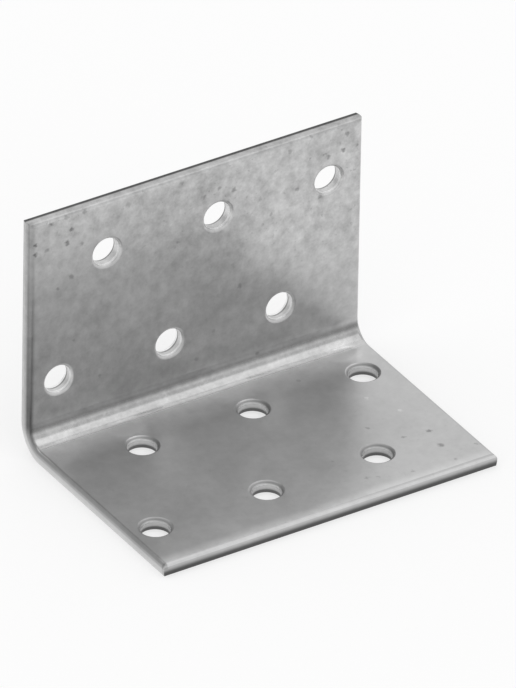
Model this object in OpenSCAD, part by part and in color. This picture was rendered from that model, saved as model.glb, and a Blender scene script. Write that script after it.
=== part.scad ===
// Angle bracket, folded from one strip of galvanised steel sheet.
// The base leg lies on z = 0 and the wall leg stands along its back edge.
// The origin is the middle of the footprint, and X runs along the fold.
// The punch side of the sheet is the inside of the corner: there the cut outline and the
// holes have a rolled-in rim, then a smooth land, then a rougher fracture that falls back.

/* [Sheet] */
// Thickness of the sheet
sheet_t = 2; // [1.6:0.1:4]
// Inside radius of the fold
fold_r = 3.2; // [0.6:0.1:5]

/* [Legs] */
// Length of the bracket along the fold
width = 60; // [30:1:140]
// Reach of the base leg from the outside of the wall leg
base_reach = 41.5; // [24:0.1:90]
// Height of the wall leg from the underside of the base leg
wall_height = 41.5; // [24:0.1:90]

/* [Cut edges] */
// Radius of the rolled-in rim along the cut outline
rim_r = 0.7; // [0.2:0.05:0.8]
// Height of the fractured band of the cut edge, from the outside face
fracture_h = 0.8; // [0.2:0.05:0.8]
// How far the fractured band falls back at the outside face
fracture_taper = 0.1; // [0.02:0.01:0.2]

/* [Screw holes] */
// Diameter of a screw hole at its smooth land
hole_d = 4.6; // [3:0.1:7]
// Distance between neighbouring holes of a row
hole_pitch = 20; // [12:0.5:30]
// Distance between the rows of a leg
row_gap = 20.3; // [12:0.1:30]
// Least distance from the last hole's rim to the right end or to the fold
hole_margin = 1.5; // [0.5:0.1:3]
// Radius of the rolled-in rim of a hole
hole_rim_r = 0.7; // [0.1:0.05:0.8]
// Height of the fractured band of a hole, from the outside face
hole_fracture_h = 0.6; // [0.2:0.05:0.8]

/* [Hole layout] */
// Base leg: free edge to the first row
base_edge_to_row = 9.8; // [6:0.1:14]
// Base leg: left end to the first hole of rows 1, 3 and so on from the free edge
base_start_odd = 4.5; // [4:0.1:16]
// Base leg: left end to the first hole of rows 2, 4 and so on
base_start_even = 14.8; // [4:0.1:16]
// Wall leg: free edge to the first row
wall_edge_to_row = 9.4; // [6:0.1:14]
// Wall leg: left end to the first hole of rows 1, 3 and so on from the free edge
wall_start_odd = 13.9; // [4:0.1:16]
// Wall leg: left end to the first hole of rows 2, 4 and so on
wall_start_even = 5.5; // [4:0.1:16]

/* [Hidden] */
$fn = 96;

hole_r = hole_d / 2;
fold_outer_r = fold_r + sheet_t;
rim_cross_angle = 75; // where a hole's rim meets the face, short of a true tangent
over = 1;             // how far a cutter runs past a face

// Cut edge of the sheet as a 2D outline: the material lies at x < 0, its outside face is
// y = 0 and its punch side is y = sheet_t. It reaches back to x = -reach.
module cut_edge(reach) {
    polygon([
        [-reach, 0],
        [-fracture_taper, 0],
        [0, fracture_h],
        [0, sheet_t - rim_r],
        [-reach, sheet_t - rim_r]
    ]);
    translate([-reach, fracture_h]) square([reach - rim_r, sheet_t - fracture_h]);
    translate([-rim_r, sheet_t - rim_r]) circle(rim_r);
}

// The strip's cross-section, with a cut edge at each side
module strip_section() {
    for (side = [0, 1])
        mirror([side, 0]) translate([width / 2, 0]) cut_edge(width / 2);
}

// One screw hole, on the Z axis, through a sheet that lies on z = 0 with its punch side up
module screw_hole() {
    rim_base = sheet_t - hole_rim_r * sin(rim_cross_angle);
    fracture_slope = fracture_taper / hole_fracture_h;
    rotate_extrude() {
        polygon([
            [0, -over],
            [hole_r + fracture_taper + fracture_slope * over, -over],
            [hole_r, hole_fracture_h],
            [hole_r, rim_base],
            [0, rim_base]
        ]);
        difference() {
            translate([0, rim_base]) square([hole_r + hole_rim_r, sheet_t - rim_base + over]);
            translate([hole_r + hole_rim_r, rim_base]) circle(hole_rim_r);
        }
    }
}

// Staggered rows of holes, counted from the free edge, as many as the leg has room for
module screw_holes(reach, edge_to_row, starts) {
    last_row = reach - fold_outer_r - hole_r - hole_margin;
    last_hole = width - hole_r - hole_margin;
    rows = max(0, floor((last_row - edge_to_row) / row_gap) + 1);
    for (row = [0 : 1 : rows - 1])
        for (x = [starts[row % 2] : hole_pitch : last_hole])
            translate([x - width / 2, edge_to_row + row * row_gap - reach, 0]) screw_hole();
}

// One flat leg: it lies on z = 0, punch side up, from the fold at y = -fold_outer_r
// to its free edge at y = -reach
module flat_leg(reach, edge_to_row, starts) {
    difference() {
        intersection() {
            rotate([90, 0, 0])
                translate([0, 0, fold_outer_r]) linear_extrude(reach - fold_outer_r + over)
                    strip_section();
            rotate([90, 0, 90])
                translate([-reach, 0, -width]) linear_extrude(2 * width)
                    mirror([1, 0]) cut_edge(reach - fold_outer_r);
        }
        screw_holes(reach, edge_to_row, starts);
    }
}

// The fold: the strip's section turned a quarter about the axis of the bend
module fold() {
    translate([0, -fold_outer_r, fold_outer_r])
        rotate([0, 90, 0]) rotate_extrude(angle = 90)
            translate([fold_outer_r, 0]) rotate(90) strip_section();
}

module angle_bracket() {
    color([0.66, 0.67, 0.68])
        translate([0, base_reach / 2, 0]) {
            flat_leg(base_reach, base_edge_to_row, [base_start_odd, base_start_even]);
            fold();
            // the wall leg is a flat leg swung up about the heel, punch side to the front
            mirror([0, 1, 1])
                flat_leg(wall_height, wall_edge_to_row, [wall_start_odd, wall_start_even]);
        }
}

angle_bracket();
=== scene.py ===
"""A galvanised steel angle bracket on a white studio floor."""
import math

import bmesh
import bpy
from mathutils import Matrix, Vector


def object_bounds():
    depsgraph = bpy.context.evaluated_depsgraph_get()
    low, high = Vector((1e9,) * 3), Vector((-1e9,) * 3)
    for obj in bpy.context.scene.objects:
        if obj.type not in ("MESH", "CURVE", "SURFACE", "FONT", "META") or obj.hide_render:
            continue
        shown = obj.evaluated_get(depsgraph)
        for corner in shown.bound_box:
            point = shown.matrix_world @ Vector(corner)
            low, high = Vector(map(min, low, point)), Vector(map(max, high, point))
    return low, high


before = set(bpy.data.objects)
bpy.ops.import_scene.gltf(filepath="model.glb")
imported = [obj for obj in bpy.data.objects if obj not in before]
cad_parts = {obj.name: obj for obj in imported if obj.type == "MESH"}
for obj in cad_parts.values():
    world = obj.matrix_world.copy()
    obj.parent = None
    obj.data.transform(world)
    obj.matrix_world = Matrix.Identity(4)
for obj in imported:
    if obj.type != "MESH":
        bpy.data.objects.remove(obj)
cad_low, cad_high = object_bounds()

# The photograph's camera: a long lens that looks down from the front left.
# The scale is what the picture shows at the point the camera aims at.
PICTURE_HEIGHT = 688
PIXELS_PER_METRE = 6508
VIEW_AZIMUTH = math.radians(-32.74)
VIEW_ELEVATION = math.radians(32.90)
VIEW_ROLL = math.radians(1.03)
VIEW_DISTANCE = 3.29
VIEW_END = 20
AIM = Vector((0.01137, 0.01848, 0.00655))
FILM_HEIGHT = 36

camera_data = bpy.data.cameras.new("camera")
camera_data.sensor_width = FILM_HEIGHT
camera_data.lens = FILM_HEIGHT * PIXELS_PER_METRE * VIEW_DISTANCE / PICTURE_HEIGHT
camera_data.clip_end = VIEW_END
camera = bpy.data.objects.new("camera", camera_data)
camera.matrix_world = (
    Matrix.Translation(AIM)
    @ Matrix.Rotation(VIEW_AZIMUTH, 4, "Z")
    @ Matrix.Rotation(math.pi / 2 - VIEW_ELEVATION, 4, "X")
    @ Matrix.Rotation(VIEW_ROLL, 4, "Z")
    @ Matrix.Translation((0, 0, VIEW_DISTANCE))
)
bpy.context.collection.objects.link(camera)
bpy.context.scene.camera = camera
bpy.context.scene.view_settings.view_transform = "Standard"

# The studio floor: white card, which shows as plain white and keeps a faint shadow.
# Its own light is seen by the camera and in reflections, and falls on nothing.
FLOOR_SIZE = 8.0
WHITE = (1, 1, 1, 1)
CARD_WHITE = (0.95, 0.95, 0.95, 1)
CARD_GLOW = 0.5
GLOW_STRENGTH = 1.12

floor_mesh = bmesh.new()
bmesh.ops.create_grid(floor_mesh, x_segments=1, y_segments=1, size=FLOOR_SIZE / 2)
floor_data = bpy.data.meshes.new("studio_floor")
floor_mesh.to_mesh(floor_data)
floor_mesh.free()
floor = bpy.data.objects.new("studio_floor", floor_data)
bpy.context.collection.objects.link(floor)


class Wire:
    """The output of a node. Sums on wires and numbers add Math nodes."""

    def __init__(self, finish, socket):
        self.finish = finish
        self.socket = socket

    def maths(self, operation, *values):
        return self.finish.add("ShaderNodeMath", {"operation": operation}, *values)

    def __add__(self, other):
        return self.maths("ADD", self, other)

    def __sub__(self, other):
        return self.maths("SUBTRACT", self, other)

    def __rsub__(self, other):
        return self.maths("SUBTRACT", other, self)

    def __mul__(self, other):
        return self.maths("MULTIPLY", self, other)

    def __pow__(self, other):
        return self.maths("POWER", self, other)

    def at_least(self, other):
        return self.maths("MAXIMUM", self, other)

    def at_most(self, other):
        return self.maths("MINIMUM", self, other)

    def step(self, low, high, start=0, end=1):
        """The start value below low and the end value above high, with a soft change."""
        return self.finish.add(
            "ShaderNodeMapRange", {"interpolation_type": "SMOOTHSTEP"},
            Value=self,
            **{"From Min": low, "From Max": high, "To Min": start, "To Max": end},
        )

    def fade(self, low, high):
        """1 below low and 0 above high."""
        return self.step(low, high, 1, 0)

    def band(self, low, full, last_full, high):
        """1 from full to last_full, and 0 below low and above high."""
        return self.step(low, full) * self.fade(last_full, high)

    __radd__ = __add__
    __rmul__ = __mul__


class Finish:
    """A material, or the world, and the one way to add nodes to it."""

    def __init__(self, owner):
        owner.use_nodes = True
        self.owner = owner
        self.tree = owner.node_tree
        self.tree.nodes.clear()

    def add(self, kind, settings=None, *values, output=0, **named):
        node = self.tree.nodes.new(kind)
        for name, value in (settings or {}).items():
            setattr(node, name, value)
        for name, value in [*enumerate(values), *named.items()]:
            socket = node.inputs[name]
            if isinstance(value, Wire):
                self.tree.links.new(value.socket, socket)
            else:
                socket.default_value = value
        return Wire(self, node.outputs[output]) if node.outputs else node


card = Finish(bpy.data.materials.new("white_card"))
seen = card.add("ShaderNodeLightPath", output="Is Camera Ray").at_least(
    card.add("ShaderNodeLightPath", output="Is Glossy Ray")
)
card.add(
    "ShaderNodeOutputMaterial", {},
    card.add(
        "ShaderNodeMixShader", {}, seen * CARD_GLOW,
        card.add("ShaderNodeBsdfDiffuse", {}, CARD_WHITE),
        card.add("ShaderNodeEmission", {}, WHITE, GLOW_STRENGTH),
    ),
)
floor_data.materials.append(card.owner)

# The studio light: a white room, and a softbox high at the front right, which draws the
# bright lines along the fold and the front edge; painted highlights on the zinc add to them.
# What the zinc reflects of the room is a little darker low down, to the left, and in a strip
# halfway up the front wall.
ROOM_LIGHT = 0.86
FRONT_LIGHT = 0.92
FRONT_LOW = 0.94
FRONT_FOOT = (0.13, 0.32)
FRONT_STRIP = (0.42, 0.56, 0.72, 0.86)
STRIP_DARKNESS = 0.22
OTHERS_LOW = 0.78
OTHERS_FOOT = (0.30, 0.45)
FRONT_TO_OTHERS = (-0.2, 0.1)
LEFT_LIGHT = 0.72
LEFT_TO_MIDDLE = (-0.6, 0.0)
SOFTBOX_FROM = Vector((0.454, -0.23, 0.86))
SOFTBOX_DISTANCE = 1.6
SOFTBOX_SIZE = 0.84
SOFTBOX_RADIANCE = 0.42

bpy.context.scene.world = bpy.data.worlds.new("white_room")
room = Finish(bpy.context.scene.world)
sky = room.add("ShaderNodeTexCoord", output="Generated")
across = room.add("ShaderNodeSeparateXYZ", {}, sky, output="X")
from_front = room.add("ShaderNodeSeparateXYZ", {}, sky, output="Y").fade(*FRONT_TO_OTHERS)
height = room.add("ShaderNodeSeparateXYZ", {}, sky, output="Z")
front_wall = FRONT_LIGHT * height.step(*FRONT_FOOT, FRONT_LOW, 1) * (
    1 - STRIP_DARKNESS * height.band(*FRONT_STRIP)
)
other_walls = height.step(*OTHERS_FOOT, OTHERS_LOW, 1)
walls = (front_wall * from_front + other_walls * (1 - from_front)) * across.step(
    *LEFT_TO_MIDDLE, LEFT_LIGHT, 1
)
glossy = room.add("ShaderNodeLightPath", output="Is Glossy Ray")
seen = room.add("ShaderNodeLightPath", output="Is Camera Ray").at_least(
    room.add("ShaderNodeLightPath", output="Is Transmission Ray")
)
room.add(
    "ShaderNodeOutputWorld", {},
    room.add(
        "ShaderNodeBackground", {}, WHITE,
        seen + glossy * walls + (1 - seen - glossy) * ROOM_LIGHT,
    ),
)

softbox_data = bpy.data.lights.new("softbox", "AREA")
softbox_data.size = SOFTBOX_SIZE
softbox_data.energy = SOFTBOX_RADIANCE * math.pi * SOFTBOX_SIZE**2
softbox = bpy.data.objects.new("softbox", softbox_data)
softbox.location = SOFTBOX_FROM.normalized() * SOFTBOX_DISTANCE
softbox.rotation_euler = SOFTBOX_FROM.to_track_quat("Z", "Y").to_euler()
bpy.context.collection.objects.link(softbox)

# The bracket: one strip of galvanised sheet, punched, cut and folded once. Its finish is
# laid out in millimetres, on the imported model's frame. A band along an edge is given by
# where it sets in, and where it goes out again.
MILLIMETRES_PER_METRE = 1000
SHEET = 2.0
FOLD_INSIDE = 3.2
FOLD_OUTSIDE = FOLD_INSIDE + SHEET
half_width = cad_high[0] * MILLIMETRES_PER_METRE
front = cad_low[1] * MILLIMETRES_PER_METRE
back = cad_high[1] * MILLIMETRES_PER_METRE
top = cad_high[2] * MILLIMETRES_PER_METRE

zinc = Finish(bpy.data.materials.new("galvanised_steel"))
place = zinc.add(
    "ShaderNodeVectorMath", {"operation": "SCALE"},
    zinc.add("ShaderNodeTexCoord", output="Object"), Scale=MILLIMETRES_PER_METRE,
)
x = zinc.add("ShaderNodeSeparateXYZ", {}, place, output="X")
y = zinc.add("ShaderNodeSeparateXYZ", {}, place, output="Y")
z = zinc.add("ShaderNodeSeparateXYZ", {}, place, output="Z")

# Depth in the sheet: 0 on its outside face, and its thickness on the punch side. Only cut
# edges and the walls of holes lie between the two.
PUNCH_SIDE = (1.85, 1.95)
OFF_THE_OUTSIDE = (0.02, 0.06)
LEFT_HALF = (-1, 1)
FOOT_OF_WALL = (SHEET + 0.5, SHEET + FOLD_INSIDE)

behind = (y - (back - FOLD_OUTSIDE)).at_least(0)
below = (FOLD_OUTSIDE - z).at_least(0)
depth = FOLD_OUTSIDE - (behind * behind + below * below) ** 0.5
punch_side = depth.step(*PUNCH_SIDE)
cut = depth.step(*OFF_THE_OUTSIDE)
to_end = half_width - x.maths("ABSOLUTE", x)
to_front = y - front
to_top = top - z
from_outline = to_end.at_most(to_front).at_most(to_top)
at_left = x.fade(*LEFT_HALF)
on_wall = z.step(*FOOT_OF_WALL)
on_base = 1 - on_wall

# Zinc mottling: soft clouds, and a fine grain that is stronger high up and to the right
# of the wall leg, where the coat has aged. Noise has its middle at a half.
AGED_HEIGHT = (18, 38)
AGED_LEAN = 0.35
CLOUDS, CLOUDS_AGED = 0.2, 0.14
GRAIN, GRAIN_AGED, GRAIN_ON_WALL = 0.26, 0.5, 0.36
FLECKS, FLECKS_AGED = 0.05, 0.16
FLECK_EDGE = (0.66, 0.74)

clouds = zinc.add("ShaderNodeTexNoise", {}, place, Scale=0.16, Detail=2.0, Roughness=0.55) - 0.5
grain = zinc.add("ShaderNodeTexNoise", {}, place, Scale=0.55, Detail=3.5, Roughness=0.68) - 0.5
flecks = zinc.add("ShaderNodeTexNoise", {}, place, Scale=1.3, Detail=2.0, Roughness=0.5)
aged = on_wall * (z + AGED_LEAN * x).step(*AGED_HEIGHT)
tone = (
    1
    + clouds * (CLOUDS + CLOUDS_AGED * aged)
    + grain * (GRAIN + GRAIN_AGED * aged + GRAIN_ON_WALL * on_wall)
    - flecks.step(*FLECK_EDGE) * (FLECKS + FLECKS_AGED * aged)
)

# Pits in the coat, each with its place along the fold, its place up the wall leg or across
# the base leg, its radius and how dark it is
WALL_PITS = (
    (-26.2, 40.6, 0.5, 0.5), (-23.4, 40.9, 0.5, 0.3), (-22.6, 38.5, 0.45, 0.5),
    (-23.3, 36.2, 0.45, 0.5), (-20.6, 35.2, 0.4, 0.3), (-26.9, 36.0, 0.45, 0.3),
    (-29.0, 37.7, 0.4, 0.6), (-29.0, 35.9, 0.4, 0.6), (-22.4, 29.8, 0.5, 0.35),
    (-24.9, 28.4, 0.35, 0.3), (-21.9, 18.2, 0.3, 0.2), (-17.1, 10.0, 0.35, 0.2),
    (-20.2, 40.8, 0.4, 0.3), (-12.4, 39.5, 0.5, 0.2), (26.4, 36.8, 0.45, 0.5),
    (23.7, 36.4, 0.4, 0.4), (28.9, 36.9, 0.4, 0.4), (27.1, 39.5, 0.4, 0.35),
    (6.7, 36.0, 0.45, 0.4), (4.0, 37.2, 0.4, 0.35), (1.3, 36.5, 0.45, 0.3),
    (-2.8, 40.2, 0.35, 0.3), (16.7, 39.8, 0.4, 0.3), (11.4, 32.8, 0.45, 0.3),
    (18.1, 32.4, 0.4, 0.3), (22.4, 29.6, 0.45, 0.35), (8.1, 18.1, 0.4, 0.3),
    (0.3, 7.3, 0.4, 0.25), (3.3, 11.5, 0.35, 0.2), (11.4, 4.7, 0.4, 0.3),
)
BASE_PITS = (
    (16.9, -4.2, 0.35, 0.3), (20.4, -9.2, 0.35, 0.3), (24.6, -9.8, 0.45, 0.5),
    (24.1, -14.0, 0.5, 0.45), (23.9, -18.5, 0.4, 0.3), (7.4, -9.3, 0.3, 0.2),
    (9.4, -16.0, 0.4, 0.25), (11.1, -16.7, 0.35, 0.2), (16.5, -18.0, 0.4, 0.25),
    (29.0, -16.5, 0.35, 0.3), (15.0, 12.6, 0.4, 0.2),
)
# Small bright specks, which are lighter than the coat
BASE_SPECKS = ((21.4, 2.9, 0.4, -0.2), (23.8, -2.5, 0.4, -0.2))
# Wide, soft areas of painted shade, or of painted reflection where the number is below
# zero, which stand in for the room and the other leg reflected in the zinc
WALL_PAINTED_SHADES = (
    (-10, 8, 9, 0.1), (5, 27, 6, 0.06), (14, 24, 8, -0.12), (26, 9, 8, 0.1),
    (-8, 17, 8, -0.08), (-22, 42, 8, -0.06),
)
BASE_PAINTED_SHADES = (
    (8, -10, 8, 0.06), (18, -5, 8, 0.06), (-14.5, 14.3, 3, -0.34), (4.5, 14.4, 2.8, -0.12),
    (25.3, 15.3, 2.8, -0.36), (-12.7, 6.5, 3, 0.06), (7.3, 6.5, 3, 0.06),
    (-8, -4, 14, -0.06), (-27, -12, 5, 0.08),
)
# A mark's ragged outline wanders by this much, and its edge is soft between these shares
# of its radius
WANDER = 0.9
MARK_EDGE = Vector((0.3, 1.3))

wander = zinc.add("ShaderNodeTexNoise", {}, place, Scale=1.6, Detail=1.0, output="Color")
ragged = zinc.add(
    "ShaderNodeVectorMath", {"operation": "MULTIPLY_ADD"}, wander, (WANDER,) * 3, place,
)
pits_specks_and_painted_shades = [
    (Vector((side, back - SHEET, up)), *rest) for side, up, *rest in WALL_PITS + WALL_PAINTED_SHADES
] + [
    (Vector((side, deep, SHEET)), *rest)
    for side, deep, *rest in BASE_PITS + BASE_SPECKS + BASE_PAINTED_SHADES
]
# Pits and specks are marks in the coat; the wide areas are painted shade and painted reflection.
for mark, radius, darkness in pits_specks_and_painted_shades:
    away = zinc.add(
        "ShaderNodeVectorMath", {"operation": "DISTANCE"},
        ragged, mark + Vector((WANDER,) * 3) / 2, output="Value",
    )
    tone *= away.step(*(radius * MARK_EDGE), 1 - darkness, 1)

# Cut edges: the fractured band at the outside face is dark. Along the front, where it
# shows most, the band also carries painted shade, the floor's contact shadow as the edge
# would reflect it, and the darkness goes out softly over the smooth land.
ON_THE_EDGE = (0.15, 0.3)
FRONT_FRACTURE_AND_SHADE_DEPTHS, FRONT_FRACTURE_AND_SHADE_DARKNESS = (0.5, 1.5), 0.8
TOP_FRACTURE, TOP_DARKNESS = (0.5, 0.85), 0.85

front_edge = cut * to_front.fade(*ON_THE_EDGE)
top_edge = cut * to_top.fade(*ON_THE_EDGE)
tone *= 1 - front_edge * depth.step(*FRONT_FRACTURE_AND_SHADE_DEPTHS, FRONT_FRACTURE_AND_SHADE_DARKNESS, 0)
tone *= 1 - top_edge * depth.step(*TOP_FRACTURE, TOP_DARKNESS, 0)

# Holes: each has a rolled-in rim, a smooth land and a fractured band. The band is dark in
# the base leg. In the wall leg it is a thin dark line, which lies further in on the lower
# row. Painted light brightens the wall leg's hole walls past that line, the foot of each
# rim and the base leg's lands, and painted shade dulls the highlight on the base leg's rims
# and lips.
CLEAR_OF_OUTLINE = (0.8, 1.0)
HOLE_END = (1.85, 1.98)
FRACTURE, FRACTURE_DARKNESS = (0.5, 0.85), 0.72
RIM, HOLE_RIM_PAINTED_SHADE = (1.5, 1.7), 0.12
LINE, LINE_DARKNESS = (-0.1, 0.1, 0.2, 0.4), 0.55
LOWER_ROW, LOWER_LINE = (18, 24), 0.38
LOWER_ROW_PAINTED_LIGHT_DEPTHS = (0.3, 0.45)
WALL_HOLE_PAINTED_LIGHT = 0.3
RIM_FOOT, RIM_FOOT_PAINTED_LIGHT = (1.32, 1.45, 1.6, 1.75), 0.6
LAND, HOLE_LAND_PAINTED_LIGHT = (0.85, 1.1, 1.4, 1.6), 0.15
LIP, LIP_PAINTED_SHADE = (1.55, 1.75, 1.985, 1.997), 0.2

hole_wall = cut * from_outline.step(*CLEAR_OF_OUTLINE)
in_hole = hole_wall * depth.fade(*HOLE_END)
lower_row = z.fade(*LOWER_ROW)
# The base leg's fractured band is dark, and its rims carry painted shade
base_fracture_and_rim_shade = FRACTURE_DARKNESS * depth.fade(*FRACTURE) + HOLE_RIM_PAINTED_SHADE * depth.step(*RIM)
wall_dark = LINE_DARKNESS * (depth - LOWER_LINE * lower_row).band(*LINE)
tone *= 1 - in_hole * (base_fracture_and_rim_shade * on_base + wall_dark * on_wall)
# Painted light on the wall leg's hole walls and at the foot of each rim
wall_hole_painted_light = WALL_HOLE_PAINTED_LIGHT + lower_row * depth.fade(*LOWER_ROW_PAINTED_LIGHT_DEPTHS)
tone *= 1 + in_hole * (wall_hole_painted_light * on_wall + RIM_FOOT_PAINTED_LIGHT * depth.band(*RIM_FOOT))
# Painted light on the base leg's lands, and painted shade on its lips
land = in_hole * depth.band(*LAND)
lip = hole_wall * depth.band(*LIP)
tone *= 1 + (HOLE_LAND_PAINTED_LIGHT * land - LIP_PAINTED_SHADE * lip) * on_base

# The left end: the wall leg's rolled-in rim and land carry painted shade, the floor's
# shadow as they would reflect it, darkest low down, and the base leg's rim and a line along
# it carry a little painted shade. The base leg's cut face has painted light, a reflection of
# the bright floor, towards its outside face.
END_SHADE_WIDTH, END_SHADE_DEPTH = (0.35, 1.25), (1.0, 1.8)
END_SHADE_HEIGHT, END_SHADE_LOW, END_SHADE_HIGH = (0, 46), 0.75, 0.3
ON_THE_END = (0.1, 0.2)
WALL_LAND, WALL_LAND_PAINTED_SHADE = (0.3, 1.0), 0.2
BASE_RIM, BASE_RIM_DEPTH, END_RIM_PAINTED_SHADE = (0.5, 0.75), (1.05, 1.35), 0.24
BASE_LINE, BASE_LINE_DEPTH, END_LINE_PAINTED_SHADE = (0.15, 0.3, 0.5, 0.85), (1.7, 1.85), 0.2
BASE_LAND, END_LAND_PAINTED_LIGHT = (0.8, 1.3), 0.2
BASE_FRACTURE, END_FRACTURE_PAINTED_LIGHT = (0.2, 0.7), 1.6

left_end = cut * to_end.fade(*ON_THE_END)
wall_end_painted_shade = to_end.fade(*END_SHADE_WIDTH) * depth.step(*END_SHADE_DEPTH)
wall_end_painted_shade *= z.step(*END_SHADE_HEIGHT, END_SHADE_LOW, END_SHADE_HIGH)
wall_end_unshaded = (1 - wall_end_painted_shade) * (1 - WALL_LAND_PAINTED_SHADE * left_end * depth.step(*WALL_LAND))
base_end_line_shade = END_LINE_PAINTED_SHADE * to_end.band(*BASE_LINE) * depth.step(*BASE_LINE_DEPTH)
base_end_rim_shade = END_RIM_PAINTED_SHADE * to_end.fade(*BASE_RIM) * depth.step(*BASE_RIM_DEPTH)
base_end_painted_light = left_end * depth.step(*BASE_LAND, END_LAND_PAINTED_LIGHT, 0)
base_end_painted_light *= depth.step(*BASE_FRACTURE, END_FRACTURE_PAINTED_LIGHT, 1)
tone *= 1 - at_left * (on_wall * (1 - wall_end_unshaded) + on_base * (base_end_line_shade + base_end_rim_shade - base_end_painted_light))

# The top rim's highlight is dulled with painted shade. The front's rolled-in rim has a
# painted highlight low down and painted shade further up, and the sheet just inside it has
# painted light, a reflection of the room, to the left most of all.
TOP_ROLL, TOP_PAINTED_SHADE = (0.08, 0.25), 0.13
FRONT_HIGHLIGHT_BAND, FRONT_PAINTED_HIGHLIGHT = (0.02, 0.08, 0.20, 0.36), 0.4
FRONT_ROLL, FRONT_ROLL_PAINTED_SHADE = (0.33, 0.42, 0.66, 0.76), 0.2
PAST_THE_LAND = (1.2, 1.4)
NEAR_FRONT, NEAR_FRONT_PAINTED_LIGHT, NEAR_FRONT_LIGHT_PER_MM = (0.7, 2.8), 0.32, 0.005

tone *= 1 - TOP_PAINTED_SHADE * cut * to_top.fade(*TOP_ROLL)
past_the_land = depth.step(*PAST_THE_LAND)
front_painted_highlight = FRONT_PAINTED_HIGHLIGHT * to_front.band(*FRONT_HIGHLIGHT_BAND) * past_the_land
tone *= 1 + front_painted_highlight - FRONT_ROLL_PAINTED_SHADE * to_front.band(*FRONT_ROLL)
tone *= 1 + (NEAR_FRONT_PAINTED_LIGHT - NEAR_FRONT_LIGHT_PER_MM * x) * to_front.fade(*NEAR_FRONT) * punch_side

# The inside of the fold: the bending tool has burnished it smooth. It carries a painted
# highlight, stronger to the left, a line of painted shade low along it and a darker one at
# its upper end. The wall leg has painted shade just above it, and the base leg a painted
# reflection in front of it, both less so at the right end.
BURNISHED_BEHIND, BURNISHED_BELOW = (0.1, 1.0), (1.0, 1.4)
FOLD_BEHIND, FOLD_BELOW = (0.2, 1.2), (0.8, 1.6)
FOLD_PAINTED_HIGHLIGHT, FOLD_HIGHLIGHT_GRAIN = 0.05, 0.5
FOLD_LEFT, FOLD_LEFT_PAINTED_HIGHLIGHT = (-30, -8), 0.06
DULL_LINE, DULL_LINE_PAINTED_SHADE = (1.1, 1.5, 1.7, 2.2), 0.13
DARK_LINE, DARK_LINE_PAINTED_SHADE = (3.25, 4.0, 4.1, 5.0), 0.5
LOW_WALL, LOW_WALL_PAINTED_SHADE, LOW_WALL_RIGHT = (4.4, 5.0, 6, 10), 0.3, (15, 26)
FORE_BEHIND, FORE_DEEP, FORE_PAINTED_REFLECTION = (0.6, 1.45), (9.3, 16), 0.9
FORE_RIGHT, FORE_RIGHT_SHARE = (23.5, 28), 0.1

burnished = punch_side * behind.step(*BURNISHED_BEHIND) * below.step(*BURNISHED_BELOW)
in_fold = punch_side * behind.step(*FOLD_BEHIND) * below.step(*FOLD_BELOW)
tone *= 1 + in_fold * (FOLD_PAINTED_HIGHLIGHT + FOLD_HIGHLIGHT_GRAIN * grain + x.step(*FOLD_LEFT, FOLD_LEFT_PAINTED_HIGHLIGHT, 0))
tone *= 1 - DULL_LINE_PAINTED_SHADE * punch_side * behind.band(*DULL_LINE)
tone *= 1 - DARK_LINE_PAINTED_SHADE * punch_side * z.band(*DARK_LINE)
low_wall_painted_shade = punch_side * z.band(*LOW_WALL) * x.fade(*LOW_WALL_RIGHT)
tone *= 1 - LOW_WALL_PAINTED_SHADE * low_wall_painted_shade
painted_reflection_before_fold = punch_side * behind.fade(*FORE_BEHIND) * y.step(*FORE_DEEP)
tone *= 1 + FORE_PAINTED_REFLECTION * painted_reflection_before_fold * x.step(*FORE_RIGHT, 1, FORE_RIGHT_SHARE)

# The zinc itself: satin, smoother where it is burnished, and rougher on the front's rim
# and in the holes
ZINC_GREY = (0.52, 0.52, 0.52)
SATIN, SATIN_CLOUDS, SATIN_GRAIN = 0.32, 0.12, 0.1
BURNISHED_SMOOTHER, FRONT_RIM_ROUGHER, HOLES_ROUGHER = 0.15, 0.12, 0.15
FRONT_RIM = (0.7, 0.9)
FLECK_RELIEF, FLECK_RELIEF_METRES = 0.15, 0.00002

zinc_colour = zinc.add(
    "ShaderNodeVectorMath", {"operation": "SCALE"}, ZINC_GREY, Scale=tone
)
front_rim = to_front.fade(*FRONT_RIM) * past_the_land
roughness = SATIN + SATIN_CLOUDS * clouds + SATIN_GRAIN * grain - BURNISHED_SMOOTHER * burnished
roughness = roughness + FRONT_RIM_ROUGHER * front_rim + HOLES_ROUGHER * in_hole
zinc.add(
    "ShaderNodeOutputMaterial", {},
    zinc.add(
        "ShaderNodeBsdfPrincipled", {},
        **{"Base Color": zinc_colour, "Metallic": 1.0, "Roughness": roughness},
        Normal=zinc.add(
            "ShaderNodeBump", {},
            Strength=FLECK_RELIEF, Distance=FLECK_RELIEF_METRES, Height=flecks,
        ),
    ),
)
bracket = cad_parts["angle_bracket"]
bracket.data.materials.clear()
bracket.data.materials.append(zinc.owner)
